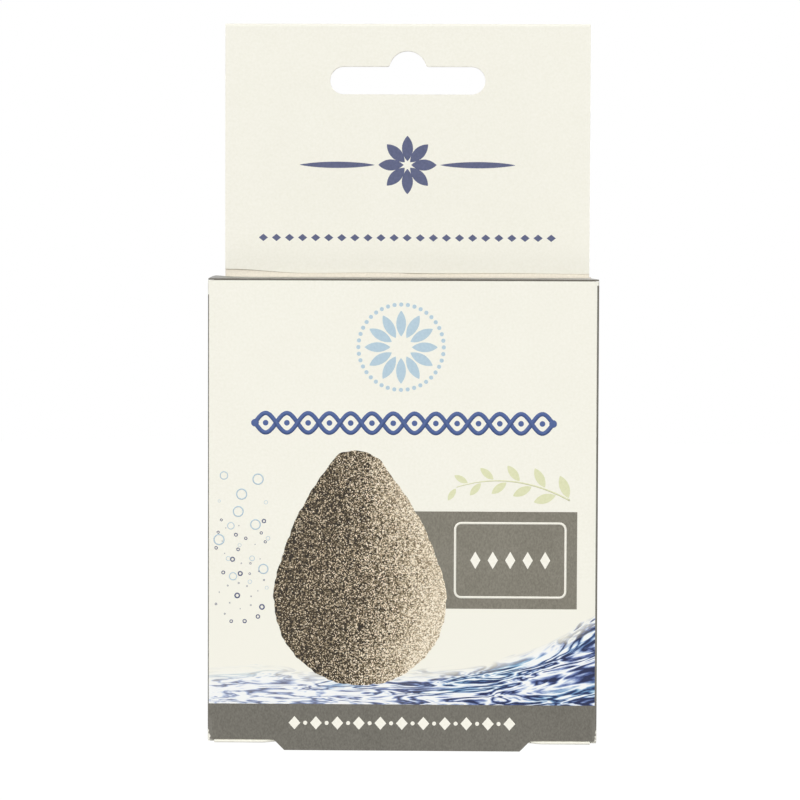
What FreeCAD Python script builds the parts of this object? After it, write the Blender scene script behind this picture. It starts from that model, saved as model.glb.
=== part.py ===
import FreeCAD, Part
import math
import os

# Boxed konjac sponge: a folding carton with a hanger header, and the drop-shaped sponge inside it.
# Millimetres, +Z up, the carton's front faces -Y.
# The origin is under the middle of the carton, at the foot of the front panel's tab.

# Board, glue and the open lines that folds leave
board = 0.5
glue_line = 0.1
crease_gap = 0.15
seat_gap = 0.05
flap_gap = 0.1
edge_gap = 0.1
fold_round_ratio = 0.8

# Sponge, and the room that the carton gives it
sponge_height = 61.0
sponge_width = 45.0
sponge_thickness = 31.0
sponge_tip_radius = 6.2
sponge_flank_radius = 90.0
sponge_seat_gap = 0.3
room_beside_sponge = 15.0
room_before_sponge = 3.7
headroom = 28.5

# Tab on the front panel's lower edge, with 45 degree sides
tab_drop = 2.1
tab_root_width = 50.2

# Hanger header and its euro slot
header_inset = 0.4
header_rise = 52.0
header_strip = 1.2
glue_margin = 2.0
slot_width = 32.0
slot_bar_height = 5.7
slot_total_height = 8.9
slot_bump_radius = 3.85
slot_fillet = 0.6
slot_drop = 14.5

# End closures: an end panel, its tuck flap and two dust flaps
tuck_length = 11.0
tuck_tilt_degrees = 12.0
tuck_corner_radius = 6.0
tuck_side_clearance = 0.75
dust_flap_length = 17.0
dust_flap_corner_radius = 2.0
dust_front_clearance = 2.1
dust_front_taper = 1.5
dust_rear_clearance = 0.8

# Carton tube, sized around the sponge
half_board = board / 2
back_plies = 2 * board + glue_line
carton_width = sponge_width + 2 * room_beside_sponge + 2 * board
carton_depth = sponge_thickness + 2 * room_before_sponge + board + back_plies
carton_height = sponge_height + headroom + sponge_seat_gap - 2 * seat_gap
half_width = carton_width / 2
front_outer = -carton_depth / 2
front_inner = front_outer + board
hanger_outer = carton_depth / 2
hanger_inner = hanger_outer - board
back_outer = hanger_inner - glue_line
back_inner = back_outer - board
side_inner = half_width - board

# Levels, from the tab's foot upwards; the base closure mirrors the lid's about the middle
front_bottom = tab_drop
front_top = front_bottom + carton_height
middle_level = (front_bottom + front_top) / 2
lid_mid = front_top + seat_gap + half_board
lid_top = lid_mid + half_board
lid_underside = lid_mid - half_board
dust_mid = lid_underside - flap_gap - half_board
side_top = dust_mid - half_board - crease_gap
side_bottom = 2 * middle_level - side_top
base_bottom = 2 * middle_level - lid_top
base_upper_face = 2 * middle_level - lid_underside

# Hinge lines
lid_axis = back_inner - crease_gap - half_board
tuck_axis = front_inner + crease_gap + half_board
lid_front_end = tuck_axis + half_board + crease_gap
dust_axis = half_width - half_board

# Header
half_header = half_width - header_inset
header_top = lid_top + header_rise
fold_radius = back_plies / 2
fold_level = header_top - fold_radius
facing_bottom = lid_top + header_strip
slot_bottom = header_top - slot_drop


def plate(low, high):
    size = high - low
    return Part.makeBox(size.x, size.y, size.z, low)


def outline_prism(points, along):
    corners = [FreeCAD.Vector(*point) for point in points]
    return Part.Face(Part.makePolygon(corners + corners[:1])).extrude(along)


def line(start, end):
    return Part.LineSegment(start, end).toShape()


def arc(start, through, end):
    return Part.Arc(start, through, end).toShape()


def creased_leaf(root, reach, normal, along):
    """A board leaf that starts in a half-round crease about the line root + along."""
    half = normal * half_board
    behind = FreeCAD.Vector(reach).normalize() * -half_board
    edges = [
        arc(root + half, root + behind, root - half),
        line(root - half, root - half + reach),
        line(root - half + reach, root + half + reach),
        line(root + half + reach, root + half),
    ]
    return Part.Face(Part.Wire(edges)).extrude(along)


def edges_along(solid, direction, test):
    """The solid's edges whose ends lie along a unit direction and whose middle passes a test."""
    found = []
    for edge in solid.Edges:
        start = edge.firstVertex().Point
        span = edge.lastVertex().Point - start
        aside = span - direction * span.dot(direction)
        lies_along = span.Length > half_board and aside.Length < half_board
        if lies_along and test(start + span / 2):
            found.append(edge)
    return found


def rounded_uprights(solid, y):
    """Round the two upright creases on the face at y."""
    tolerance = half_board / 2

    def on_corner(point):
        return abs(point.y - y) < tolerance and abs(abs(point.x) - half_width) < tolerance

    edges = edges_along(solid, FreeCAD.Vector(0, 0, 1), on_corner)
    return solid.makeFillet(board * fold_round_ratio, edges)


def mirrored_to_base(solid):
    return solid.mirror(FreeCAD.Vector(0, 0, middle_level), FreeCAD.Vector(0, 0, 1))


def mirrored_to_right(solid):
    return solid.mirror(FreeCAD.Vector(0, 0, 0), FreeCAD.Vector(1, 0, 0))


def front_panel():
    half_tab = tab_root_width / 2
    outline = [
        (-half_width, front_outer, front_bottom),
        (-half_tab, front_outer, front_bottom),
        (-half_tab + tab_drop, front_outer, 0),
        (half_tab - tab_drop, front_outer, 0),
        (half_tab, front_outer, front_bottom),
        (half_width, front_outer, front_bottom),
        (half_width, front_outer, front_top),
        (-half_width, front_outer, front_top),
    ]
    panel = outline_prism(outline, FreeCAD.Vector(0, board, 0))
    return rounded_uprights(panel, front_outer)


def left_side_panel():
    low = FreeCAD.Vector(-half_width, front_inner, side_bottom)
    high = FreeCAD.Vector(-side_inner, hanger_inner, side_top)
    return plate(low, high)


def back_panel():
    low = FreeCAD.Vector(-side_inner + edge_gap, back_inner, base_bottom)
    high = FreeCAD.Vector(side_inner - edge_gap, back_outer, lid_top)
    return plate(low, high)


def euro_slot(low_y, high_y):
    """The slot's solid between two Y levels: a round-ended bar with a filleted bump on top."""
    end_radius = slot_bar_height / 2
    bar_end = slot_width / 2 - end_radius
    bump_height = slot_total_height - slot_bump_radius
    fillet_height = slot_bar_height + slot_fillet
    reach = slot_bump_radius + slot_fillet
    fillet_x = math.sqrt(reach**2 - (fillet_height - bump_height) ** 2)
    lean = math.atan2(fillet_height - bump_height, fillet_x)
    bump_x = slot_bump_radius * math.cos(lean)
    bump_z = bump_height + slot_bump_radius * math.sin(lean)
    half_turn = (math.pi / 2 - lean) / 2
    middle_x = fillet_x - slot_fillet * math.sin(half_turn)
    middle_z = fillet_height - slot_fillet * math.cos(half_turn)

    def at(x, z):
        return FreeCAD.Vector(x, low_y, slot_bottom + z)

    edges = [
        line(at(-bar_end, 0), at(bar_end, 0)),
        arc(at(bar_end, 0), at(bar_end + end_radius, end_radius), at(bar_end, slot_bar_height)),
        line(at(bar_end, slot_bar_height), at(fillet_x, slot_bar_height)),
        arc(at(fillet_x, slot_bar_height), at(middle_x, middle_z), at(bump_x, bump_z)),
        arc(at(bump_x, bump_z), at(0, slot_total_height), at(-bump_x, bump_z)),
        arc(at(-bump_x, bump_z), at(-middle_x, middle_z), at(-fillet_x, slot_bar_height)),
        line(at(-fillet_x, slot_bar_height), at(-bar_end, slot_bar_height)),
        arc(at(-bar_end, slot_bar_height), at(-bar_end - end_radius, end_radius), at(-bar_end, 0)),
    ]
    return Part.Face(Part.Wire(edges)).extrude(FreeCAD.Vector(0, high_y - low_y, 0))


def hanger_panel():
    """The fifth panel: it doubles the back, rises as the header and folds over at the top."""
    outline = [
        (-half_width, hanger_inner, base_bottom),
        (half_width, hanger_inner, base_bottom),
        (half_width, hanger_inner, lid_top),
        (half_header, hanger_inner, lid_top),
        (half_header, hanger_inner, fold_level),
        (-half_header, hanger_inner, fold_level),
        (-half_header, hanger_inner, lid_top),
        (-half_width, hanger_inner, lid_top),
    ]
    panel = rounded_uprights(outline_prism(outline, FreeCAD.Vector(0, board, 0)), hanger_outer)
    fold_middle = FreeCAD.Vector(-half_header, hanger_outer - fold_radius, fold_level)
    across = FreeCAD.Vector(0, fold_radius, 0)
    crown = FreeCAD.Vector(0, 0, fold_radius)
    edges = [
        arc(fold_middle - across, fold_middle + crown, fold_middle + across),
        line(fold_middle + across, fold_middle - across),
    ]
    fold = Part.Face(Part.Wire(edges)).extrude(FreeCAD.Vector(2 * half_header, 0, 0))
    return panel.fuse(fold).removeSplitter().cut(euro_slot(hanger_inner, hanger_outer))


def header_facing():
    low = FreeCAD.Vector(-half_header, back_inner, facing_bottom)
    high = FreeCAD.Vector(half_header, back_outer, fold_level)
    return plate(low, high).cut(euro_slot(back_inner, back_outer))


def header_glue():
    """The glue that holds the facing to the header's rear ply."""
    half_glue = half_header - glue_margin
    low = FreeCAD.Vector(-half_glue, back_outer, facing_bottom + glue_margin)
    high = FreeCAD.Vector(half_glue, hanger_inner, fold_level - glue_margin)
    return plate(low, high).cut(euro_slot(back_outer, hanger_inner))


def back_glue():
    """The glue that closes the tube: back panel to hanger panel."""
    half_glue = side_inner - edge_gap - glue_margin
    low = FreeCAD.Vector(-half_glue, back_outer, base_bottom + glue_margin)
    high = FreeCAD.Vector(half_glue, hanger_inner, lid_top - glue_margin)
    return plate(low, high)


def lid_panel():
    root = FreeCAD.Vector(-half_width, lid_axis, lid_mid)
    reach = FreeCAD.Vector(0, lid_front_end - lid_axis, 0)
    return creased_leaf(root, reach, FreeCAD.Vector(0, 0, 1), FreeCAD.Vector(carton_width, 0, 0))


def lid_tuck_flap():
    half_tuck = side_inner - tuck_side_clearance
    tip_level = lid_mid - tuck_length
    root = FreeCAD.Vector(-half_tuck, tuck_axis, lid_mid)
    reach = FreeCAD.Vector(0, 0, -tuck_length)
    flap = creased_leaf(root, reach, FreeCAD.Vector(0, 1, 0), FreeCAD.Vector(2 * half_tuck, 0, 0))

    def at_tip_corner(point):
        return abs(point.z - tip_level) < half_board and abs(abs(point.x) - half_tuck) < half_board

    corners = edges_along(flap, FreeCAD.Vector(0, 1, 0), at_tip_corner)
    flap = flap.makeFillet(tuck_corner_radius, corners)
    flap.rotate(FreeCAD.Vector(0, tuck_axis, lid_mid), FreeCAD.Vector(1, 0, 0), tuck_tilt_degrees)
    return flap


def left_lid_dust_flap():
    front = front_inner + dust_front_clearance
    rear = lid_axis - dust_rear_clearance
    tip = -dust_axis + dust_flap_length
    root = FreeCAD.Vector(-dust_axis, front, dust_mid)
    reach = FreeCAD.Vector(dust_flap_length, 0, 0)
    leaf = creased_leaf(root, reach, FreeCAD.Vector(0, 0, 1), FreeCAD.Vector(0, rear - front, 0))
    under = dust_mid - half_board
    outline = [
        (-half_width, front, under),
        (-dust_axis, front, under),
        (tip, front + dust_front_taper, under),
        (tip, rear - dust_flap_length, under),
        (-dust_axis, rear, under),
        (-half_width, rear, under),
    ]
    flap = leaf.common(outline_prism(outline, FreeCAD.Vector(0, 0, board)))

    def at_tip_corner(point):
        return abs(point.x - tip) < half_board

    corners = edges_along(flap, FreeCAD.Vector(0, 0, 1), at_tip_corner)
    return flap.makeFillet(dust_flap_corner_radius, corners)


def sponge():
    """A drop, tip up: a round belly, large flank arcs and a small round tip, thinner than wide."""
    belly = sponge_width / 2
    tip_middle = sponge_height - sponge_tip_radius
    to_belly = sponge_flank_radius - belly
    to_tip = sponge_flank_radius - sponge_tip_radius
    apart = tip_middle - belly
    flank_rise = (apart**2 + to_belly**2 - to_tip**2) / (2 * apart)
    flank_out = math.sqrt(to_belly**2 - flank_rise**2)
    flank_z = belly + flank_rise

    def on_flank(angle):
        x = sponge_flank_radius * math.cos(angle) - flank_out
        return FreeCAD.Vector(x, 0, flank_z + sponge_flank_radius * math.sin(angle))

    low_angle = math.atan2(belly - flank_z, flank_out)
    high_angle = math.atan2(tip_middle - flank_z, flank_out)
    foot = FreeCAD.Vector(0, 0, 0)
    crown = FreeCAD.Vector(0, 0, sponge_height)
    belly_angle = (low_angle - math.pi / 2) / 2
    belly_through = FreeCAD.Vector(belly * math.cos(belly_angle), 0, belly + belly * math.sin(belly_angle))
    tip_angle = (high_angle + math.pi / 2) / 2
    tip_through = FreeCAD.Vector(
        sponge_tip_radius * math.cos(tip_angle), 0, tip_middle + sponge_tip_radius * math.sin(tip_angle)
    )
    edges = [
        arc(foot, belly_through, on_flank(low_angle)),
        arc(on_flank(low_angle), on_flank((low_angle + high_angle) / 2), on_flank(high_angle)),
        arc(on_flank(high_angle), tip_through, crown),
        line(crown, foot),
    ]
    half_profile = Part.Face(Part.Wire(edges))
    round_drop = half_profile.revolve(foot, FreeCAD.Vector(0, 0, 1), 360)
    flatten = FreeCAD.Matrix()
    flatten.scale(1, sponge_thickness / sponge_width, 1)
    drop = round_drop.transformGeometry(flatten)
    middle_y = front_inner + room_before_sponge + sponge_thickness / 2
    drop.translate(FreeCAD.Vector(0, middle_y, base_upper_face + sponge_seat_gap))
    return drop


def carton_pieces():
    """Every node's solid by name."""
    left_side = left_side_panel()
    lid = lid_panel()
    lid_tuck = lid_tuck_flap()
    left_dust = left_lid_dust_flap()
    right_dust = mirrored_to_right(left_dust)
    return {
        "front_panel": front_panel(),
        "left_side_panel": left_side,
        "right_side_panel": mirrored_to_right(left_side),
        "back_panel": back_panel(),
        "hanger_panel": hanger_panel(),
        "header_facing": header_facing(),
        "header_glue": header_glue(),
        "back_glue": back_glue(),
        "lid_panel": lid,
        "lid_tuck_flap": lid_tuck,
        "lid_dust_flap_left": left_dust,
        "lid_dust_flap_right": right_dust,
        "base_panel": mirrored_to_base(lid),
        "base_tuck_flap": mirrored_to_base(lid_tuck),
        "base_dust_flap_left": mirrored_to_base(left_dust),
        "base_dust_flap_right": mirrored_to_base(right_dust),
        "sponge": sponge(),
    }


os.makedirs("parts", exist_ok=True)
pieces = carton_pieces()
for name, solid in pieces.items():
    solid.exportStep("parts/" + name + ".step")
    print(name, "valid", solid.isValid(), "solids", len(solid.Solids), "volume", round(solid.Volume, 2))
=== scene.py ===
import math
import bmesh
import bpy
from mathutils import Matrix, Vector


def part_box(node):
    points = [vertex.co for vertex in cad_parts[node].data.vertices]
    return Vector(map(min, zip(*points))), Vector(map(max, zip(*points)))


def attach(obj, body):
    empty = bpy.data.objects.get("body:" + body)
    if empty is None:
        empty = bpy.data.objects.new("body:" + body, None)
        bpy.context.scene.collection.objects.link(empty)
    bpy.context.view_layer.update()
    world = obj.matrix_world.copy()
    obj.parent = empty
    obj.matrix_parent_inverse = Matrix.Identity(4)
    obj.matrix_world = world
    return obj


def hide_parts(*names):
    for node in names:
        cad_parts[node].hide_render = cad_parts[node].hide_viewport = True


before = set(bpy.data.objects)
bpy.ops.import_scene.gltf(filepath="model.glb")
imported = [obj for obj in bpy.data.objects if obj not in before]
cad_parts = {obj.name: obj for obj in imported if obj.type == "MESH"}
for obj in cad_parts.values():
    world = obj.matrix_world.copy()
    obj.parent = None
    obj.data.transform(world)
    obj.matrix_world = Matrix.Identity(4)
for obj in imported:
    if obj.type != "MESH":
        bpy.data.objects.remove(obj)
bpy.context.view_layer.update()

# Boxed konjac sponge: a printed folding carton on a hanger header, with the drop-shaped sponge inside.
# Metres, in the carton's own frame: +X to the right of the front, +Y to the back, +Z up.
MM = 0.001
X = Vector((1, 0, 0))
Y = Vector((0, 1, 0))
Z = Vector((0, 0, 1))

# Places that the frame gives
front_low, front_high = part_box("front_panel")
facing_low, facing_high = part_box("header_facing")
hanger_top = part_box("hanger_panel")[1].z
lid_low, lid_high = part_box("lid_panel")
tab_drop = 2.1 * MM
front_bottom = front_low.z + tab_drop
front_top = front_high.z
half_front = front_high.x

# Printing: the inks' films, each reaching into the one under it, and the bands that they cover
film = 0.010 * MM
film_thickness = 1.5 * film
ink_recess = 0.030 * MM
band_top = front_bottom + 7.0 * MM
water_top = front_bottom + 31.0 * MM
crease_ink_right = half_front - 0.40 * MM
crease_ink_left = -half_front + 0.22 * MM
crease_ink_top_right = front_top - 0.8 * MM
crease_ink_top_left = front_top - 2.8 * MM
worn_corner = half_front - 0.9 * MM
worn_corner_top = front_bottom + 4.2 * MM

# Camera and picture
picture_pixels = 800
focal_pixels = 3135.0
sensor_width_mm = 36.0
eye = Vector((11.74, -628.78, 96.64)) * MM
camera_yaw = math.radians(1.159)
camera_pitch = math.radians(2.633)
camera_roll = math.radians(0.2)

# Stage: the carton hangs from its slot, and the floor leaves room for the opened base
floor_level = -300.0 * MM
floor_size = 12.0
floor_white_share = 0.7
floor_glow = 1.06
sky_light = 0.22
light_softness = math.radians(35)

# Paper and ink: how rough they are, and the sizes of the drift and the specks in their colours
varnished = 0.62
satin = 0.34
uncoated = 0.85
ink_cloud = 9.0 * MM
ink_speck = 0.5 * MM
fine_grain = {"speck": 0.28 * MM, "grain": 1.6}

# How squarely a face points to a side that it lies on, and how little still counts as the outside
square_on = 0.5
slightly_out = 0.2


def linear(hex_colour):
    """An sRGB hex colour as linear RGBA."""
    channels = [int(hex_colour[start:start + 2], 16) / 255 for start in (1, 3, 5)]
    curved = [c / 12.92 if c <= 0.04045 else ((c + 0.055) / 1.055) ** 2.4 for c in channels]
    return (*curved, 1.0)


def add(tree, kind, inputs=None, stops=(), **settings):
    """Add a node. An input takes a value, a node's first output, or one named output of a node."""
    made = tree.nodes.new(kind)
    for setting, value in settings.items():
        setattr(made, setting, value)
    for index, (position, hex_colour) in enumerate(stops):
        elements = made.color_ramp.elements
        stop = elements[index] if index < 2 else elements.new(position)
        stop.position = position
        stop.color = linear(hex_colour)
    for socket, value in (inputs or {}).items():
        if isinstance(value, bpy.types.Node):
            value = value.outputs[0]
        if isinstance(value, bpy.types.NodeSocket):
            tree.links.new(value, made.inputs[socket])
        else:
            made.inputs[socket].default_value = value
    return made


def new_material(name):
    """A material with an empty node tree, and that tree."""
    material = bpy.data.materials.new(name)
    material.use_nodes = True
    material.node_tree.nodes.clear()
    return material, material.node_tree


def paper_skin(tree, colour, roughness):
    """Finish a paper material: the colour under a matt varnish, with the board's fibres as a fine bump."""
    fibre_size = 0.30 * MM
    fibre_relief = 0.012 * MM
    place = add(tree, "ShaderNodeTexCoord").outputs["Object"]
    fibres = add(tree, "ShaderNodeTexNoise", {"Vector": place, "Scale": 1 / fibre_size, "Detail": 3.0})
    relief = add(tree, "ShaderNodeBump", {"Height": fibres, "Distance": fibre_relief, "Strength": 0.6})
    sheen = {"Base Color": colour, "Roughness": roughness, "Specular IOR Level": 0.35, "Normal": relief}
    skin = add(tree, "ShaderNodeBsdfPrincipled", sheen)
    add(tree, "ShaderNodeOutputMaterial", {"Surface": skin})


# A Mix node takes colours at inputs 6 and 7 and gives output 2, or plain numbers at 2 and 3 and output 0.
def mottled(tree, low_hex, high_hex, cloud_size, speck_size, grain=1.0):
    """A colour between two near shades: soft clouds, and fine specks that grain draws out upwards."""
    cloud_share = 0.25
    darkest = 0.37
    palest = 0.87
    place = add(tree, "ShaderNodeTexCoord").outputs["Object"]
    cloud = add(tree, "ShaderNodeTexNoise", {"Vector": place, "Scale": 1 / cloud_size, "Detail": 2.0})
    upright = add(tree, "ShaderNodeMapping", {"Vector": place, "Scale": (1.0, 1.0, 1 / grain)})
    specks = add(tree, "ShaderNodeTexNoise", {"Vector": upright, "Scale": 1 / speck_size, "Detail": 4.0})
    both = add(tree, "ShaderNodeMath", {0: cloud, 1: cloud_share, 2: specks}, operation="MULTIPLY_ADD")
    spread = add(tree, "ShaderNodeMapRange", {"Value": both, "From Min": darkest, "From Max": palest})
    shades = {"Factor": spread, 6: linear(low_hex), 7: linear(high_hex)}
    return add(tree, "ShaderNodeMix", shades, data_type="RGBA").outputs[2]


def printed_paper(name, low_hex, high_hex, roughness=varnished, cloud=ink_cloud, speck=ink_speck, grain=1.0):
    """Folding boxboard or a film of ink on it: even, matt, with a little drift and fibre in the colour."""
    material, tree = new_material(name)
    paper_skin(tree, mottled(tree, low_hex, high_hex, cloud, speck, grain), roughness)
    return material


def scuffed_crease(name, low_hex, high_hex, core_hex):
    """Ink over a fold: it wears to the pale core in small chips, most at the carton's lower corners."""
    material, tree = new_material(name)
    chip_size = 0.8 * MM
    chip_start = 0.60
    chip_end = 0.66
    foot_wear = 0.22
    upper_wear = -0.25
    edge_wear = 0.16
    inner_wear = -0.35
    ink = mottled(tree, low_hex, high_hex, ink_cloud, ink_speck)
    place = add(tree, "ShaderNodeTexCoord").outputs["Object"]
    axes = add(tree, "ShaderNodeSeparateXYZ", {"Vector": place})
    upwards = {"Value": axes.outputs["Z"], "From Min": front_bottom, "From Max": worn_corner_top,
               "To Min": foot_wear, "To Max": upper_wear}
    near_foot = add(tree, "ShaderNodeMapRange", upwards)
    aside = add(tree, "ShaderNodeMath", {0: axes.outputs["X"]}, operation="ABSOLUTE")
    sideways = {"Value": aside, "From Min": worn_corner, "From Max": half_front, "To Min": inner_wear,
                "To Max": edge_wear}
    near_edge = add(tree, "ShaderNodeMapRange", sideways)
    chips = add(tree, "ShaderNodeTexNoise", {"Vector": place, "Scale": 1 / chip_size, "Detail": 3.0})
    chance = add(tree, "ShaderNodeMath", {0: near_foot, 1: near_edge}, operation="ADD")
    worn = add(tree, "ShaderNodeMath", {0: chips, 1: chance}, operation="ADD")
    edge = add(tree, "ShaderNodeMapRange", {"Value": worn, "From Min": chip_start, "From Max": chip_end})
    chipped = {"Factor": edge, 6: ink, 7: linear(core_hex)}
    paper_skin(tree, add(tree, "ShaderNodeMix", chipped, data_type="RGBA").outputs[2], varnished)
    return material


def board_core():
    """The cut edge of boxboard: pale pulp in thin layers, rougher than the coated faces."""
    material, tree = new_material("boxboard_cut_edge")
    layer = 0.12 * MM
    place = add(tree, "ShaderNodeTexCoord").outputs["Object"]
    pulp = add(tree, "ShaderNodeTexNoise", {"Vector": place, "Scale": 1 / layer, "Detail": 2.0})
    shades = {"Factor": pulp, 6: linear("#e2dbcb"), 7: linear("#f6f2e8")}
    paper_skin(tree, add(tree, "ShaderNodeMix", shades, data_type="RGBA").outputs[2], uncoated)
    return material


def water_print(cream_hex):
    """A print of rippling water: streaks on a swell that climbs to the right, paler at the left."""
    material, tree = new_material("boxboard_water_print")
    surface = front_bottom + 13.5 * MM
    bowl = 6.0 * MM
    climb = 5.5 * MM
    swell_length = 12.0 * MM
    lanes = 4.6
    ripples = 6.0
    fold_height = 0.5
    fold_contrast = 1.2
    shallow_end = 0.35
    shallow_lift = 0.17
    mist_share = 0.22
    tint_start = 0.50
    tint_end = 0.60
    ragged = 0.6
    soft_left = 0.5
    soft_right = 0.14
    place = add(tree, "ShaderNodeTexCoord").outputs["Object"]
    axes = add(tree, "ShaderNodeSeparateXYZ", {"Vector": place})
    across = add(tree, "ShaderNodeMath", {0: axes.outputs["X"], 1: half_front}, operation="DIVIDE")
    squared = add(tree, "ShaderNodeMath", {0: across, 1: across}, operation="MULTIPLY")
    bend = add(tree, "ShaderNodeMath", {0: across, 1: climb, 2: bowl}, operation="MULTIPLY_ADD")
    lift = add(tree, "ShaderNodeMath", {0: squared, 1: bend}, operation="MULTIPLY")
    crest = add(tree, "ShaderNodeMath", {0: lift, 1: surface - band_top}, operation="ADD")
    rise = add(tree, "ShaderNodeMath", {0: axes.outputs["Z"], 1: band_top}, operation="SUBTRACT")
    share = add(tree, "ShaderNodeMath", {0: rise, 1: crest}, operation="DIVIDE")
    run = add(tree, "ShaderNodeMath", {0: axes.outputs["X"], 1: swell_length}, operation="DIVIDE")
    lane = add(tree, "ShaderNodeMath", {0: share, 1: lanes}, operation="MULTIPLY")
    flow = add(tree, "ShaderNodeCombineXYZ", {"X": run, "Z": lane})
    swell = add(tree, "ShaderNodeTexNoise", {"Vector": flow, "Scale": 1.0, "Detail": 3.0, "Roughness": 0.5,
                                             "Distortion": 0.9})
    waves = add(tree, "ShaderNodeMath", {0: swell, 1: ripples}, operation="MULTIPLY")
    folded = add(tree, "ShaderNodeMath", {0: waves, 1: fold_height}, operation="PINGPONG")
    glints = add(tree, "ShaderNodeTexNoise", {"Vector": flow, "Scale": 2.4, "Detail": 4.0, "Roughness": 0.6})
    depth = add(tree, "ShaderNodeMath", {0: folded, 1: fold_contrast, 2: glints}, operation="MULTIPLY_ADD")
    leftwards = {"Value": across, "From Min": -1.0, "From Max": shallow_end, "To Min": 1.0, "To Max": 0.0}
    shallow = add(tree, "ShaderNodeMapRange", leftwards)
    tone = add(tree, "ShaderNodeMath", {0: shallow, 1: shallow_lift, 2: depth}, operation="MULTIPLY_ADD")
    blues = add(tree, "ShaderNodeValToRGB", {"Fac": tone}, stops=(
        (0.58, "#20284a"), (0.69, "#4c5c90"), (0.78, "#8799c4"), (0.86, "#bcc9e0"), (0.94, "#e4e9f2"),
        (1.0, "#f5f6f5")))
    cyans = add(tree, "ShaderNodeValToRGB", {"Fac": tone}, stops=(
        (0.58, "#22335c"), (0.69, "#4f7aa6"), (0.78, "#8ab3d0"), (0.86, "#bed7e6"), (0.94, "#e5eff4"),
        (1.0, "#f5f7f6")))
    tints = add(tree, "ShaderNodeTexNoise", {"Vector": flow, "Scale": 0.35})
    turn = add(tree, "ShaderNodeMapRange", {"Value": tints, "From Min": tint_start, "From Max": tint_end})
    tinted = add(tree, "ShaderNodeMix", {"Factor": turn, 6: blues, 7: cyans}, data_type="RGBA").outputs[2]
    pale = add(tree, "ShaderNodeMath", {0: shallow, 1: mist_share}, operation="MULTIPLY")
    mist = {"Factor": pale, 6: tinted, 7: linear("#f4f5f3")}
    water = add(tree, "ShaderNodeMix", mist, data_type="RGBA").outputs[2]
    torn = add(tree, "ShaderNodeMath", {0: swell, 1: ragged, 2: share}, operation="MULTIPLY_ADD")
    softness = {"Value": across, "From Min": -1.0, "To Min": soft_left, "To Max": soft_right}
    edge = add(tree, "ShaderNodeMapRange", softness)
    edge_top = 1 + ragged / 2
    edge_foot = add(tree, "ShaderNodeMath", {0: edge_top, 1: edge}, operation="SUBTRACT")
    cream = add(tree, "ShaderNodeMapRange", {"Value": torn, "From Min": edge_foot, "From Max": edge_top})
    ground = {"Factor": cream, 6: water, 7: linear(cream_hex)}
    paper_skin(tree, add(tree, "ShaderNodeMix", ground, data_type="RGBA").outputs[2], varnished)
    return material


def foam_flecks(tree, place, fleck_size):
    """Grains and dark flecks of charcoal-dyed konjac, with painted light on each grain's crown and painted
    shade at its edge; one number about 0.5.
    """
    cell_size = 1.25 * fleck_size
    crown_light_fall = -1.1
    shade_share = 0.55
    cell_share = 0.7
    noise = {"Vector": place, "Scale": 1 / fleck_size, "Detail": 3.0, "Roughness": 0.75}
    grain = add(tree, "ShaderNodeTexNoise", noise)
    cells = add(tree, "ShaderNodeTexVoronoi", {"Vector": place, "Scale": 1 / cell_size})
    shade = add(tree, "ShaderNodeSeparateColor", {"Color": cells.outputs["Color"]}).outputs["Red"]
    # Painted light: bright at each grain's crown, falling to painted shade towards the gaps between grains.
    rounded = {0: cells.outputs["Distance"], 1: crown_light_fall, 2: 1.0}
    crown = add(tree, "ShaderNodeMath", rounded, operation="MULTIPLY_ADD")
    uneven = {"Factor": shade_share, 2: crown, 3: shade}
    lit_crowns_and_tones = add(tree, "ShaderNodeMix", uneven, data_type="FLOAT").outputs[0]
    mixed = {"Factor": cell_share, 2: grain, 3: lit_crowns_and_tones}
    return add(tree, "ShaderNodeMix", mixed, data_type="FLOAT").outputs[0]


# The sponge's colours, from the darkest, which painted shade gives its deepest pores, to its palest grains
foam_shades = ((0.0, "#17110a"), (0.25, "#332919"), (0.42, "#61533b"), (0.56, "#928369"), (0.70, "#c1af92"),
               (0.87, "#eddfc6"), (1.0, "#fbf2e0"))


def sponge_picture_print():
    """A printed picture of the sponge: fine grain over a soft light from the right."""
    material, tree = new_material("sponge_picture_ink")
    fleck_size = 0.17 * MM
    fleck_middle = 0.5
    shaded_tone = 0.47
    lit_tone = 0.81
    shaded_contrast = 2.5
    lit_contrast = 1.25
    place = add(tree, "ShaderNodeTexCoord").outputs["Object"]
    flecks = foam_flecks(tree, place, fleck_size)
    tone = add(tree, "ShaderNodeAttribute", attribute_name="tone").outputs["Fac"]
    softer = {"Value": tone, "From Min": shaded_tone, "From Max": lit_tone, "To Min": shaded_contrast,
              "To Max": lit_contrast}
    contrast = add(tree, "ShaderNodeMapRange", softer)
    centred = add(tree, "ShaderNodeMath", {0: flecks, 1: fleck_middle}, operation="SUBTRACT")
    value = add(tree, "ShaderNodeMath", {0: centred, 1: contrast, 2: tone}, operation="MULTIPLY_ADD")
    paper_skin(tree, add(tree, "ShaderNodeValToRGB", {"Fac": value}, stops=foam_shades), varnished)
    return material


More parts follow.
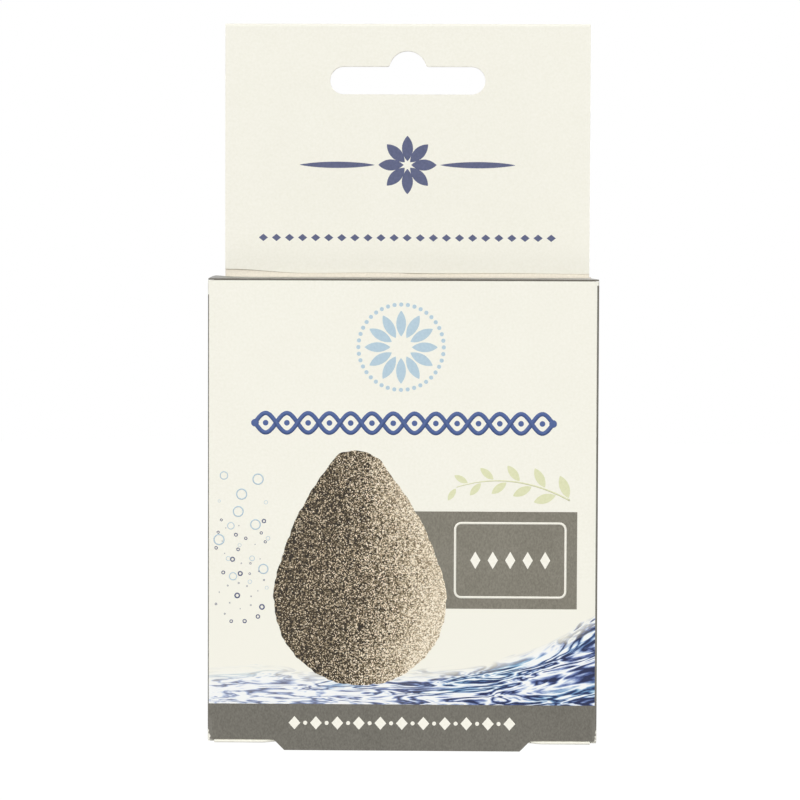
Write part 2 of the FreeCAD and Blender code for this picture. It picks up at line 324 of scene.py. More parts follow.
def konjac_foam():
    """Dried konjac foam dyed with charcoal: dull, open-pored, pale on the grains, with painted shade
    darkening the pits.
    """
    material, tree = new_material("konjac_foam_charcoal")
    fleck_size = 0.32 * MM
    fleck_relief = 0.15 * MM
    darkest_fleck = 0.12
    palest_fleck = 0.82
    darkest_tone = 0.22
    palest_tone = 0.9
    painted_pit_shade = -0.28
    place = add(tree, "ShaderNodeTexCoord").outputs["Object"]
    flecks = foam_flecks(tree, place, fleck_size)
    pit = add(tree, "ShaderNodeAttribute", attribute_name="pit").outputs["Fac"]
    spread = {"Value": flecks, "From Min": darkest_fleck, "From Max": palest_fleck, "To Min": darkest_tone,
              "To Max": palest_tone}
    skin = add(tree, "ShaderNodeMapRange", spread)
    # Painted shade: the deeper the pit, the darker its colour.
    value = add(tree, "ShaderNodeMath", {0: pit, 1: painted_pit_shade, 2: skin}, operation="MULTIPLY_ADD")
    colour = add(tree, "ShaderNodeValToRGB", {"Fac": value}, stops=foam_shades)
    relief = add(tree, "ShaderNodeBump", {"Height": flecks, "Distance": fleck_relief, "Strength": 0.8})
    dull = {"Base Color": colour, "Roughness": 0.92, "Specular IOR Level": 0.2, "Normal": relief}
    add(tree, "ShaderNodeOutputMaterial", {"Surface": add(tree, "ShaderNodeBsdfPrincipled", dull)})
    return material


def dried_glue():
    """Dried white carton glue: slightly glossy, cloudy where it is thick."""
    material, tree = new_material("pva_carton_glue")
    cloud_size = 4.0 * MM
    speck_size = 0.8 * MM
    cloudy = mottled(tree, "#ded9cc", "#efebe1", cloud_size, speck_size)
    glossy = {"Base Color": cloudy, "Roughness": 0.35, "IOR": 1.46}
    add(tree, "ShaderNodeOutputMaterial", {"Surface": add(tree, "ShaderNodeBsdfPrincipled", glossy)})
    return material


cream_hex = "#f4f2e6"
cream_board = printed_paper("boxboard_cream_ink", "#f1efe2", "#f7f5ea")
grey_board = printed_paper("boxboard_grey_ink", "#615e56", "#7b786f", satin, **fine_grain)
crease_grey = scuffed_crease("boxboard_creased_grey_ink", "#6f6c64", "#7e7b73", "#f3f0e4")
water_board = water_print(cream_hex)
# Bare uncoated reverse board in its own beige, darkened a little as painted shade for the strip that shows
# under the header's front ply.
shaded_reverse_board = printed_paper("boxboard_uncoated_reverse_painted_shade", "#dcd5c6", "#e8e1d3", uncoated, cloud=6.0 * MM,
                              speck=0.4 * MM)
cut_edge = board_core()
blue_ink = printed_paper("blue_offset_ink", "#45598c", "#52679a")
slate_ink = printed_paper("slate_offset_ink", "#545a78", "#616787")
pale_blue_ink = printed_paper("pale_blue_offset_ink", "#afc7d6", "#bdd2de")
leaf_ink = printed_paper("pale_green_offset_ink", "#d9dbb0", "#e3e4c0")
cream_ink = printed_paper("cream_offset_ink", "#f3f0e2", "#fbf8ee")
label_ink = printed_paper("grey_label_ink", "#716d61", "#8a867a", **fine_grain)
picture_ink = sponge_picture_print()
foam = konjac_foam()
glue = dried_glue()


def new_tree(name, sockets):
    """A geometry tree with named inputs, given as name: socket type, and the outputs of its input node."""
    tree = bpy.data.node_groups.new(name, "GeometryNodeTree")
    for label, kind in sockets.items():
        tree.interface.new_socket(label, in_out="INPUT", socket_type="NodeSocket" + kind)
    tree.interface.new_socket("Geometry", in_out="OUTPUT", socket_type="NodeSocketGeometry")
    return tree, tree.nodes.new("NodeGroupInput").outputs


def end_tree(tree, geometry, ink):
    """Finish a geometry tree: plain geometry in one material."""
    real = add(tree, "GeometryNodeRealizeInstances", {"Geometry": geometry})
    inked = add(tree, "GeometryNodeSetMaterial", {"Geometry": real, "Material": ink})
    add(tree, "NodeGroupOutput", {"Geometry": inked})
    return tree


def grown(tree, values, start=None):
    """The plain mesh that a geometry tree makes from these input values."""
    host = bpy.data.objects.new(tree.name + "_host", start or bpy.data.meshes.new(tree.name))
    bpy.context.scene.collection.objects.link(host)
    growth = host.modifiers.new("growth", "NODES")
    growth.node_group = tree
    for socket in tree.interface.items_tree:
        if socket.in_out == "INPUT" and socket.name in values:
            growth[socket.identifier] = values[socket.name]
    evaluated = host.evaluated_get(bpy.context.evaluated_depsgraph_get())
    mesh = bpy.data.meshes.new_from_object(evaluated)
    bpy.data.objects.remove(host)
    return mesh


def motif_shape(tree, sizes):
    """A flat motif along X: a lozenge of 4 corners, a dot of many, or a petal where it is pinched."""
    rim = {"Vertices": sizes["Corners"], "Radius": 1.0}
    disc = add(tree, "GeometryNodeMeshCircle", rim, fill_type="NGON")
    place = add(tree, "ShaderNodeSeparateXYZ", {"Vector": add(tree, "GeometryNodeInputPosition")})
    across = place.outputs["Y"]
    far = add(tree, "ShaderNodeMath", {0: across}, operation="ABSOLUTE")
    pinch = add(tree, "ShaderNodeMath", {0: far, 1: sizes["Pinch"]}, operation="POWER")
    pinched = add(tree, "ShaderNodeMath", {0: across, 1: pinch}, operation="MULTIPLY")
    half_width = add(tree, "ShaderNodeMath", {0: sizes["Width"], 1: 0.5}, operation="MULTIPLY")
    half_length = add(tree, "ShaderNodeMath", {0: sizes["Length"], 1: 0.5}, operation="MULTIPLY")
    out = add(tree, "ShaderNodeMath", {0: place.outputs["X"], 1: half_length}, operation="MULTIPLY")
    aside = add(tree, "ShaderNodeMath", {0: pinched, 1: half_width}, operation="MULTIPLY")
    point = add(tree, "ShaderNodeCombineXYZ", {"X": out, "Y": aside})
    return add(tree, "GeometryNodeSetPosition", {"Geometry": disc, "Position": point})


# The inputs of every tree that repeats a motif
motif_sockets = {"Count": "Int", "Corners": "Int", "Length": "Float", "Width": "Float", "Pinch": "Float",
                 "Ink": "Material"}


def row_tree():
    """A row of motifs at an even pitch about its middle."""
    tree, sizes = new_tree("row_of_motifs", {**motif_sockets, "Pitch": "Float"})
    gaps = add(tree, "ShaderNodeMath", {0: sizes["Count"], 1: 1.0}, operation="SUBTRACT")
    span = add(tree, "ShaderNodeMath", {0: gaps, 1: sizes["Pitch"]}, operation="MULTIPLY")
    first = add(tree, "ShaderNodeMath", {0: span, 1: -0.5}, operation="MULTIPLY")
    start = add(tree, "ShaderNodeCombineXYZ", {"X": first})
    step = add(tree, "ShaderNodeCombineXYZ", {"X": sizes["Pitch"]})
    spots = {"Count": sizes["Count"], "Start Location": start, "Offset": step}
    line = add(tree, "GeometryNodeMeshLine", spots)
    copies = {"Points": line, "Instance": motif_shape(tree, sizes)}
    return end_tree(tree, add(tree, "GeometryNodeInstanceOnPoints", copies), sizes["Ink"])


def ring_tree():
    """A ring of motifs that all point outwards."""
    tree, sizes = new_tree("ring_of_motifs", {**motif_sockets, "Ring Radius": "Float"})
    ring = add(tree, "GeometryNodeMeshCircle", {"Vertices": sizes["Count"], "Radius": sizes["Ring Radius"]})
    place = add(tree, "GeometryNodeInputPosition")
    outwards = add(tree, "FunctionNodeAlignRotationToVector", {"Vector": place}, axis="X")
    copies = {"Points": ring, "Instance": motif_shape(tree, sizes), "Rotation": outwards}
    return end_tree(tree, add(tree, "GeometryNodeInstanceOnPoints", copies), sizes["Ink"])


def flat_line(tree, curve, width):
    """A flat printed line of this width along a curve."""
    across = {"Start": (-0.5, 0.0, 0.0), "End": (0.5, 0.0, 0.0)}
    profile = add(tree, "GeometryNodeCurvePrimitiveLine", across)
    return add(tree, "GeometryNodeCurveToMesh", {"Curve": curve, "Profile Curve": profile, "Scale": width})


def strand_tree():
    """One waved strand of a braid border."""
    sockets = {"Length": "Float", "Waves": "Float", "Swing": "Float", "Width": "Float", "Ink": "Material"}
    tree, sizes = new_tree("braid_strand", sockets)
    half = add(tree, "ShaderNodeMath", {0: sizes["Length"], 1: 0.5}, operation="MULTIPLY")
    end = add(tree, "ShaderNodeCombineXYZ", {"X": half})
    start = add(tree, "ShaderNodeVectorMath", {0: end, "Scale": -1.0}, operation="SCALE")
    straight = add(tree, "GeometryNodeCurvePrimitiveLine", {"Start": start, "End": end})
    fine = add(tree, "GeometryNodeResampleCurve", {"Curve": straight, "Count": 240})
    share = add(tree, "GeometryNodeSplineParameter").outputs["Factor"]
    turns = add(tree, "ShaderNodeMath", {0: share, 1: sizes["Waves"]}, operation="MULTIPLY")
    angle = add(tree, "ShaderNodeMath", {0: turns, 1: math.tau}, operation="MULTIPLY")
    wave = add(tree, "ShaderNodeMath", {0: angle}, operation="SINE")
    swing = add(tree, "ShaderNodeMath", {0: wave, 1: sizes["Swing"]}, operation="MULTIPLY")
    aside = add(tree, "ShaderNodeCombineXYZ", {"Y": swing})
    waved = add(tree, "GeometryNodeSetPosition", {"Geometry": fine, "Offset": aside})
    return end_tree(tree, flat_line(tree, waved, sizes["Width"]), sizes["Ink"])


def keyline_tree():
    """A thin rectangular frame with round corners."""
    sockets = {"Length": "Float", "Height": "Float", "Corner": "Float", "Width": "Float", "Ink": "Material"}
    tree, sizes = new_tree("keyline_frame", sockets)
    sides = {"Width": sizes["Length"], "Height": sizes["Height"]}
    frame_line = add(tree, "GeometryNodeCurvePrimitiveQuadrilateral", sides)
    corners = {"Curve": frame_line, "Radius": sizes["Corner"], "Count": 6}
    rounded = add(tree, "GeometryNodeFilletCurve", corners, mode="POLY")
    return end_tree(tree, flat_line(tree, rounded, sizes["Width"]), sizes["Ink"])


def sprig_tree():
    """A bowed stem with pointed leaves to both sides in turn, smaller towards the tip."""
    sockets = {**motif_sockets, "Lean": "Float", "Stem Width": "Float", "Foot": "Vector", "Bow": "Vector",
               "Tip": "Vector"}
    stem_tip = 0.45
    leaf_reach = 0.62
    tip_leaf = 0.55
    tree, sizes = new_tree("trailing_sprig", sockets)
    ends = {"Resolution": 48, "Start": sizes["Foot"], "Middle": sizes["Bow"], "End": sizes["Tip"]}
    stem = add(tree, "GeometryNodeCurveQuadraticBezier", ends)
    share = add(tree, "GeometryNodeSplineParameter").outputs["Factor"]
    taper = add(tree, "ShaderNodeMapRange", {"Value": share, "To Min": 1.0, "To Max": stem_tip})
    thin = add(tree, "ShaderNodeMath", {0: taper, 1: sizes["Stem Width"]}, operation="MULTIPLY")
    nodes_on_stem = add(tree, "GeometryNodeResampleCurve", {"Curve": stem, "Count": sizes["Count"]})
    points = add(tree, "GeometryNodeCurveToPoints", {"Curve": nodes_on_stem}, mode="EVALUATED")
    along = add(tree, "FunctionNodeAlignRotationToVector", {"Vector": points.outputs["Tangent"]}, axis="X")
    order = add(tree, "GeometryNodeInputIndex")
    parity = add(tree, "ShaderNodeMath", {0: order, 1: 2.0}, operation="MODULO")
    side = add(tree, "ShaderNodeMath", {0: parity, 1: 2.0, 2: -1.0}, operation="MULTIPLY_ADD")
    lean = add(tree, "ShaderNodeMath", {0: side, 1: sizes["Lean"]}, operation="MULTIPLY")
    turn = add(tree, "ShaderNodeCombineXYZ", {"Z": lean})
    leaning = add(tree, "FunctionNodeRotateRotation", {"Rotation": along, "Rotate By": turn},
                  rotation_space="LOCAL")
    leaf = motif_shape(tree, sizes)
    root = add(tree, "ShaderNodeMath", {0: sizes["Length"], 1: leaf_reach}, operation="MULTIPLY")
    from_stem = add(tree, "ShaderNodeCombineXYZ", {"X": root})
    shifted = add(tree, "GeometryNodeTransform", {"Geometry": leaf, "Translation": from_stem})
    count = add(tree, "ShaderNodeMath", {0: order, 1: sizes["Count"]}, operation="DIVIDE")
    smaller = add(tree, "ShaderNodeMapRange", {"Value": count, "To Min": 1.0, "To Max": tip_leaf})
    copies = {"Points": points, "Instance": shifted, "Rotation": leaning, "Scale": smaller}
    leaves = add(tree, "GeometryNodeInstanceOnPoints", copies)
    both = add(tree, "GeometryNodeJoinGeometry", {"Geometry": flat_line(tree, stem, thin)})
    tree.links.new(leaves.outputs[0], both.inputs["Geometry"])
    return end_tree(tree, both, sizes["Ink"])


def bubble_tree():
    """Thin rings of many sizes, scattered over a rectangle without touching."""
    sockets = {"Spread Width": "Float", "Spread Height": "Float", "Spacing": "Float", "Smallest": "Float",
               "Largest": "Float", "Line": "Float", "Seed": "Int", "Ink": "Material"}
    small_bias = 2.2
    tree, sizes = new_tree("rising_bubbles", sockets)
    sides = {"Size X": sizes["Spread Width"], "Size Y": sizes["Spread Height"]}
    patch = add(tree, "GeometryNodeMeshGrid", sides)
    scatter = {"Mesh": patch, "Distance Min": sizes["Spacing"], "Density Max": 1.0e6, "Seed": sizes["Seed"]}
    points = add(tree, "GeometryNodeDistributePointsOnFaces", scatter, distribute_method="POISSON")
    pick = add(tree, "FunctionNodeRandomValue", {"Seed": sizes["Seed"]})
    bias = add(tree, "ShaderNodeMath", {0: pick.outputs[1], 1: small_bias}, operation="POWER")
    between = {"Value": bias, "To Min": sizes["Smallest"], "To Max": sizes["Largest"]}
    radius = add(tree, "ShaderNodeMapRange", between)
    circle = add(tree, "GeometryNodeCurvePrimitiveCircle", {"Resolution": 28, "Radius": 1.0})
    ring = flat_line(tree, circle, sizes["Line"])
    copies = {"Points": points, "Instance": ring, "Scale": radius}
    return end_tree(tree, add(tree, "GeometryNodeInstanceOnPoints", copies), sizes["Ink"])


def foam_tree():
    """Open foam: shallow lumps and many small pits, all cut inwards from the form's own skin."""
    sockets = {"Geometry": "Geometry", "Lump Size": "Float", "Lump Depth": "Float", "Pit Size": "Float",
               "Pit Depth": "Float", "Skin": "Material"}
    pit_rim = 0.55
    pit_floor = 0.1
    tree, sizes = new_tree("konjac_foam_pits", sockets)
    place = add(tree, "GeometryNodeInputPosition")
    lump_scale = add(tree, "ShaderNodeMath", {0: 1.0, 1: sizes["Lump Size"]}, operation="DIVIDE")
    lumps = add(tree, "ShaderNodeTexNoise", {"Vector": place, "Scale": lump_scale, "Detail": 2.0})
    pit_scale = add(tree, "ShaderNodeMath", {0: 1.0, 1: sizes["Pit Size"]}, operation="DIVIDE")
    cells = add(tree, "ShaderNodeTexVoronoi", {"Vector": place, "Scale": pit_scale})
    dip = {"Value": cells.outputs["Distance"], "From Min": pit_rim, "From Max": pit_floor}
    bowl = add(tree, "ShaderNodeMapRange", dip, interpolation_type="SMOOTHSTEP")
    chance = add(tree, "FunctionNodeSeparateColor", {"Color": cells.outputs["Color"]}).outputs["Green"]
    pit = add(tree, "ShaderNodeMath", {0: bowl, 1: chance}, operation="MULTIPLY")
    # Each pit's depth, kept as 'pit' for the painted shade that the foam's material puts in the pits.
    marked = {"Geometry": sizes["Geometry"], "Name": "pit", "Value": pit}
    kept = add(tree, "GeometryNodeStoreNamedAttribute", marked, data_type="FLOAT", domain="POINT")
    lump_cut = add(tree, "ShaderNodeMath", {0: lumps, 1: sizes["Lump Depth"]}, operation="MULTIPLY")
    cut = add(tree, "ShaderNodeMath", {0: pit, 1: sizes["Pit Depth"], 2: lump_cut}, operation="MULTIPLY_ADD")
    inwards = add(tree, "ShaderNodeMath", {0: cut, 1: -1.0}, operation="MULTIPLY")
    skin = add(tree, "GeometryNodeInputNormal")
    move = add(tree, "ShaderNodeVectorMath", {0: skin, "Scale": inwards}, operation="SCALE")
    pitted = add(tree, "GeometryNodeSetPosition", {"Geometry": kept, "Offset": move})
    return end_tree(tree, pitted, sizes["Skin"])


def new_piece(name, mesh, body):
    """Put a finished mesh into the scene, riding on a body of the frame."""
    piece = bpy.data.objects.new(name, mesh)
    mesh.name = name
    bpy.context.scene.collection.objects.link(piece)
    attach(piece, body)
    return piece


def lay_print(name, artwork, middle, face_y, layer=1):
    """Lay flat artwork (X across, Y up) on a board that faces the front, as a thin closed film of ink."""
    sheet = bmesh.new()
    sheet.from_mesh(artwork)
    for vert in sheet.verts:
        vert.co = Vector((middle[0] + vert.co.x, face_y - layer * film, middle[1] + vert.co.y))
    for face in sheet.faces:
        face.normal_update()
        if face.normal.y > 0:
            face.normal_flip()
    bmesh.ops.solidify(sheet, geom=sheet.faces[:], thickness=film_thickness)
    sheet.to_mesh(artwork)
    sheet.free()
    return new_piece(name, artwork, "carton")


def ink_faces(mesh, choose):
    """Give each face of a board the ink or paper that choose(centre, normal) names."""
    mesh.materials.clear()
    inks = []
    picks = []
    for face in mesh.polygons:
        ink = choose(face.center, face.normal)
        if ink not in inks:
            inks.append(ink)
            mesh.materials.append(ink)
        picks.append(inks.index(ink))
    mesh.polygons.foreach_set("material_index", picks)


def board_sides(outside, tip, print_ink, edge=cut_edge):
    """A rule for a flat board: ink outside and round its crease, bare reverse inside, pale cut edges."""
    def choose(centre, normal):
        facing = normal.dot(outside)
        if facing > slightly_out:
            return print_ink
        if facing < -square_on:
            return shaded_reverse_board
        return print_ink if normal.dot(tip) < -slightly_out else edge
    return choose


def front_inks(centre, normal):
    """The front panel: grey foot and creases, water print above the foot, cream over the rest."""
    if normal.y > square_on:
        return shaded_reverse_board
    if abs(normal.z) > square_on and abs(normal.y) < square_on:
        return cut_edge
    on_right_crease = centre.x > crease_ink_right and centre.z < crease_ink_top_right
    on_left_crease = centre.x < crease_ink_left and centre.z < crease_ink_top_left
    on_worn_corner = abs(centre.x) > worn_corner and centre.z < worn_corner_top
    if on_right_crease or on_left_crease or on_worn_corner:
        return crease_grey
    if centre.z < band_top:
        return grey_board
    return water_board if centre.z < water_top else cream_board


def hanger_inks(centre, normal):
    """The hanger panel: cream outside and over the top fold, bare reverse towards the carton."""
    if normal.y > slightly_out or centre.z > facing_high.z:
        return cream_board
    return shaded_reverse_board if normal.y < -square_on else cut_edge


def settled_board(node, body, cuts, settle, choose):
    """Let a copy of a board stand for it, cut along planes, its points moved a little by settle(place)."""
    weld = 0.001 * MM
    on_plane = 0.0001 * MM
    sheet = bmesh.new()
    sheet.from_mesh(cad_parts[node].data)
    bmesh.ops.remove_doubles(sheet, verts=sheet.verts, dist=weld)
    for direction, places in cuts:
        for place in places:
            everything = sheet.verts[:] + sheet.edges[:] + sheet.faces[:]
            bmesh.ops.bisect_plane(sheet, geom=everything, dist=on_plane, plane_co=direction * place,
                                   plane_no=direction)
    for vert in sheet.verts:
        settle(vert.co)
    bmesh.ops.remove_doubles(sheet, verts=sheet.verts, dist=weld)
    bmesh.ops.dissolve_degenerate(sheet, edges=sheet.edges, dist=weld)
    mesh = bpy.data.meshes.new(node)
    sheet.to_mesh(mesh)
    sheet.free()
    ink_faces(mesh, choose)
    piece = new_piece(node + "_board", mesh, body)
    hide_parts(node)


def steps(low, high, count):
    """Evenly spaced places strictly between two ends."""
    return [low + (high - low) * index / count for index in range(1, count)]


def eased(place, start, length):
    """0 up to start, 1 from start + length on, and a smooth turn between them."""
    turn = min(1.0, max(0.0, (place - start) / length))
    return turn * turn * (3 - 2 * turn)


def front_board():
    """The printed front panel, its face set back by the thickness of the inks on it."""
    uprights = (X, [crease_ink_left, crease_ink_right, -worn_corner, worn_corner])
    levels = (Z, [band_top, water_top, crease_ink_top_left, crease_ink_top_right, worn_corner_top])

    def set_back(place):
        place.y = max(place.y, front_low.y + ink_recess)

    settled_board("front_panel", "carton", (uprights, levels), set_back, front_inks)


def lid_boards():
    """The lid, pressed thin along its folds and bowed up at its left end, and its tuck flap."""
    pressed_top = lid_high.z - 0.2 * MM
    bow_height = 0.45 * MM
    bow_start = 0.72
    columns = (X, steps(-half_front, -bow_start * half_front, 8))
    rows = (Y, steps(lid_low.y, lid_high.y, 12))

    def press(place):
        place.z = min(place.z, pressed_top)

    def press_and_bow(place):
        press(place)
        aside = max(0.0, (-place.x / half_front - bow_start) / (1 - bow_start))
        along = (place.y - lid_low.y) / (lid_high.y - lid_low.y)
        place.z += bow_height * aside**2 * math.sin(math.pi * along)

    on_lid = board_sides(Z, -Y, grey_board, grey_board)
    on_tuck = board_sides(-Y, -Z, grey_board)
    settled_board("lid_panel", "lid", (columns, rows), press_and_bow, on_lid)
    settled_board("lid_tuck_flap", "lid_tuck", (), press, on_tuck)


def base_tuck_board():
    """The base's tuck flap: its fold bulges forward and down beside the front panel's tab."""
    tab_half = 24.4 * MM
    ramp = 3.0 * MM
    forward = 0.45 * MM
    down = 0.15 * MM
    bends = [tab_half, *steps(tab_half, tab_half + ramp, 5), tab_half + ramp]
    columns = (X, [side * bend for side in (-1, 1) for bend in bends])

    def bulge(place):
        share = eased(abs(place.x), tab_half, ramp)
        if place.z < front_bottom:
            place.y -= forward * share
            place.z -= down * share

    on_tuck = board_sides(-Y, Z, cream_board)
    settled_board("base_tuck_flap", "base_tuck", (columns,), bulge, on_tuck)


def facing_board():
    """The header's front ply: its lower edge wanders a little, and its left end stops short."""
    short_left = 0.25 * MM
    long_middle = -0.45 * MM
    bend_zone = 9.0 * MM
    pressed_zone = 6.0 * MM
    pressed_depth = 0.50 * MM
    back_depth = 0.08 * MM
    loose_end = 0.35
    loose_share = 0.22
    wander_height = 0.06 * MM
    wander_waves = 2.7
    wander_start = 1.0
    columns = (X, steps(facing_low.x, facing_high.x, 30))
    bends = steps(facing_low.z, facing_low.z + bend_zone, 18)
    rows = (Z, [*bends, facing_low.z + bend_zone])
    width = facing_high.x - facing_low.x
    middle_y = (facing_low.y + facing_high.y) / 2

    def press_edge(place):
        across = (place.x - facing_low.x) / width
        level = place.z - facing_low.z
        hold = eased(across, 0.0, loose_share)
        pressed = max(0.0, 1 - level / pressed_zone)**2 * (1 - loose_end * (1 - hold))
        place.y += pressed * (pressed_depth if place.y < middle_y else back_depth)
        edge = short_left + (long_middle - short_left) * hold
        wander = wander_height * math.sin(across * wander_waves * math.tau + wander_start)
        place.z += max(0.0, 1 - level / bend_zone)**2 * (edge + wander)

    on_facing = board_sides(-Y, Vector(), cream_board)
    settled_board("header_facing", "carton", (columns, rows), press_edge, on_facing)


def plain_boards():
    """Ink the boards whose shape the frame already gives."""
    flat = Vector()
    leaves = {
        "left_side_panel": (-X, flat, grey_board, grey_board),
        "right_side_panel": (X, flat, grey_board, grey_board),
        "back_panel": (Y, flat, cream_board, cream_board),
        "lid_dust_flap_left": (Z, X, grey_board),
        "lid_dust_flap_right": (Z, -X, grey_board),
        "base_panel": (-Z, -Y, cream_board, cream_board),
        "base_dust_flap_left": (-Z, X, grey_board),
        "base_dust_flap_right": (-Z, -X, grey_board),
    }
    for node, (outside, tip, ink, *crease) in leaves.items():
        ink_faces(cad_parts[node].data, board_sides(outside, tip, ink, *crease))
    ink_faces(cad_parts["hanger_panel"].data, hanger_inks)
    for node in ("header_glue", "back_glue"):
        ink_faces(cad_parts[node].data, lambda centre, normal: glue)


def arc_points(middle, radius, start, end, count):
    """Points along an arc, its first end left out."""
    angles = [start + (end - start) * step / count for step in range(1, count + 1)]
    return [(middle[0] + radius * math.cos(a), middle[1] + radius * math.sin(a)) for a in angles]


def drop_half(width, height, tip_radius, flank_radius):
    """Half of a drop's outline from foot to crown: a belly arc, a long flank arc and a small tip arc."""
    belly_points = 90
    flank_points = 70
    tip_points = 24
    belly = width / 2
    tip_level = height - tip_radius
    apart = tip_level - belly
    to_belly = flank_radius - belly
    to_tip = flank_radius - tip_radius
    rise = (apart**2 + to_belly**2 - to_tip**2) / (2 * apart)
    flank_middle = (-math.sqrt(to_belly**2 - rise**2), belly + rise)
    low = math.atan2(belly - flank_middle[1], -flank_middle[0])
    high = math.atan2(tip_level - flank_middle[1], -flank_middle[0])
    outline = arc_points((0.0, belly), belly, -math.pi / 2, low, belly_points)
    outline += arc_points(flank_middle, flank_radius, low, high, flank_points)
    outline += arc_points((0.0, tip_level), tip_radius, high, math.pi / 2, tip_points)
    return outline


def sponge_picture():
    """A flat picture of the sponge: rings of faces from its middle out, each point with its printed tone."""
    width = 33.7 * MM
    height = 45.9 * MM
    tip_radius = 6.5 * MM
    flank_radius = 60.0 * MM
    tip_lean = -1.1 * MM
    rings = 26
    middle_tone = 0.405
    side_light = Vector((0.125, 0.025))
    rim_side = Vector((1.0, -0.4))
    rim_light = 0.385
    palest_tone = 0.84
    # Waves round the outline, each with its height as a share of the radius
    outline_lumps = ((9, 0.004), (23, 0.004), (41, 0.003), (67, 0.0025))
    half = drop_half(width, height, tip_radius, flank_radius)
    upright = half + [(-x, y) for x, y in reversed(half[:-1])] + [(0.0, 0.0)]
    outline = [Vector((x + tip_lean * (y / height)**2, y)) for x, y in upright]
    centre = Vector((0.0, width / 2))
    sheet = bmesh.new()
    tone = sheet.verts.layers.float.new("tone")
    hub = sheet.verts.new((0.0, centre.y, 0.0))
    hub[tone] = middle_tone
    inner = None
    for ring in range(1, rings + 1):
        share = ring / rings
        circle = []
        for index, place in enumerate(outline):
            out = place - centre
            angle = math.atan2(out.y, out.x)
            lumps = 1 + sum(size * math.sin(count * angle) for count, size in outline_lumps)
            point = centre + out * share * lumps
            vert = sheet.verts.new((point.x, point.y, 0.0))
            along = (outline[(index + 1) % len(outline)] - outline[index - 1]).normalized()
            slope = Vector((along.y, -along.x)) * share
            rim = max(0.0, slope.dot(rim_side))
            vert[tone] = min(palest_tone, middle_tone + slope.dot(side_light) + rim_light * rim)
            circle.append(vert)
        for index, vert in enumerate(circle):
            following = circle[(index + 1) % len(circle)]
            if inner is None:
                sheet.faces.new((hub, vert, following))
            else:
                sheet.faces.new((inner[index], vert, following, inner[(index + 1) % len(circle)]))
        inner = circle
    mesh = bpy.data.meshes.new("sponge_picture")
    sheet.to_mesh(mesh)
    sheet.free()
    mesh.materials.append(picture_ink)
    return mesh


def rectangle(width, height, ink):
    """A flat rectangle of one material about its middle."""
    mesh = bpy.data.meshes.new("rectangle")
    corners = [(-width / 2, -height / 2, 0), (width / 2, -height / 2, 0), (width / 2, height / 2, 0),
               (-width / 2, height / 2, 0)]
    mesh.from_pydata(corners, [], [(0, 1, 2, 3)])
    mesh.materials.append(ink)
    return mesh


